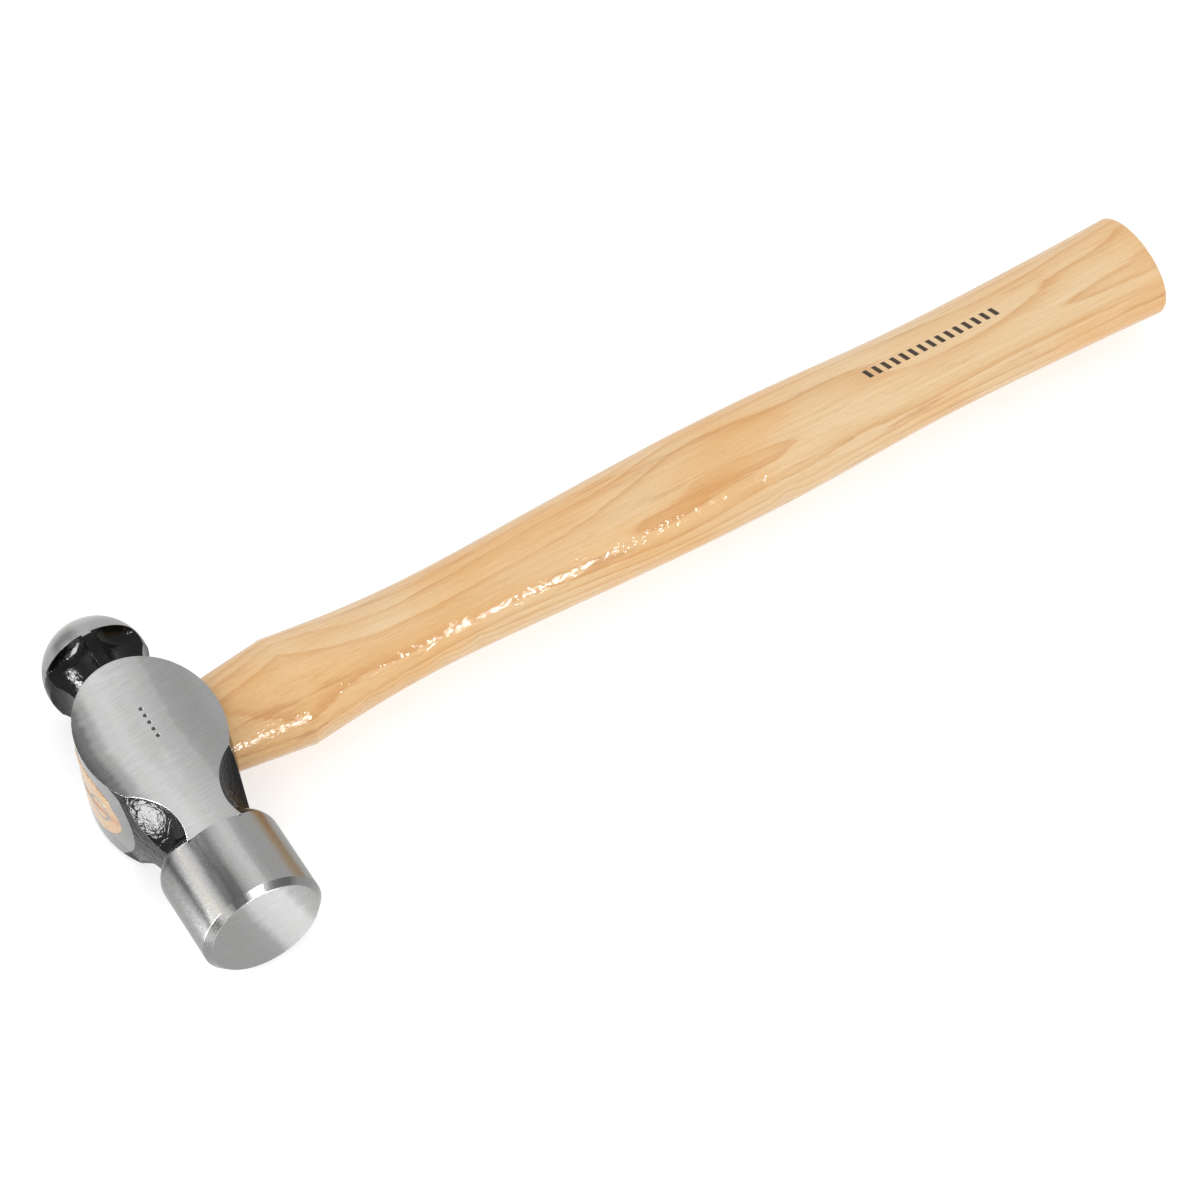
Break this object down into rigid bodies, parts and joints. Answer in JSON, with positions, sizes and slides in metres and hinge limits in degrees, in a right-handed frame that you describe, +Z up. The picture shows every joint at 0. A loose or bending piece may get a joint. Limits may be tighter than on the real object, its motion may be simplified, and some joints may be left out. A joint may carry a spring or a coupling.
{
  "type": "ball pein hammer",
  "caption": "Ball pein hammer with a chamfered round striking face, flat ground cheeks, dished necks and a waisted wooden handle wedged into the eye.",
  "frame": {"origin": "middle of the tool's length and of the head's length, on the surface it lies on, under the striking end", "axes": "+X along the handle from the head to the butt, -Y out of the striking face, +Y towards the ball, +Z up through the cheeks as it lies on its side"},
  "size_m": [0.3804, 0.1254, 0.0388],
  "materials": {
    "forged_steel": "belt-ground and clear-lacquered on the cheeks, striking end, ball and eye wall; gloss black paint in the hollows of both necks",
    "hickory": "clear gloss lacquer over straight and cathedral grain",
    "wedge_wood": "bare, cut and ground flush",
    "wedge_steel": "ground flush with the end of the handle"
  },
  "bodies": {
    "root": {"hammer_head": "forged_steel", "handle": "hickory", "wooden_wedge": "wedge_wood", "ring_wedge_face_side": "wedge_steel", "ring_wedge_ball_side": "wedge_steel"}
  },
  "joints": []
}
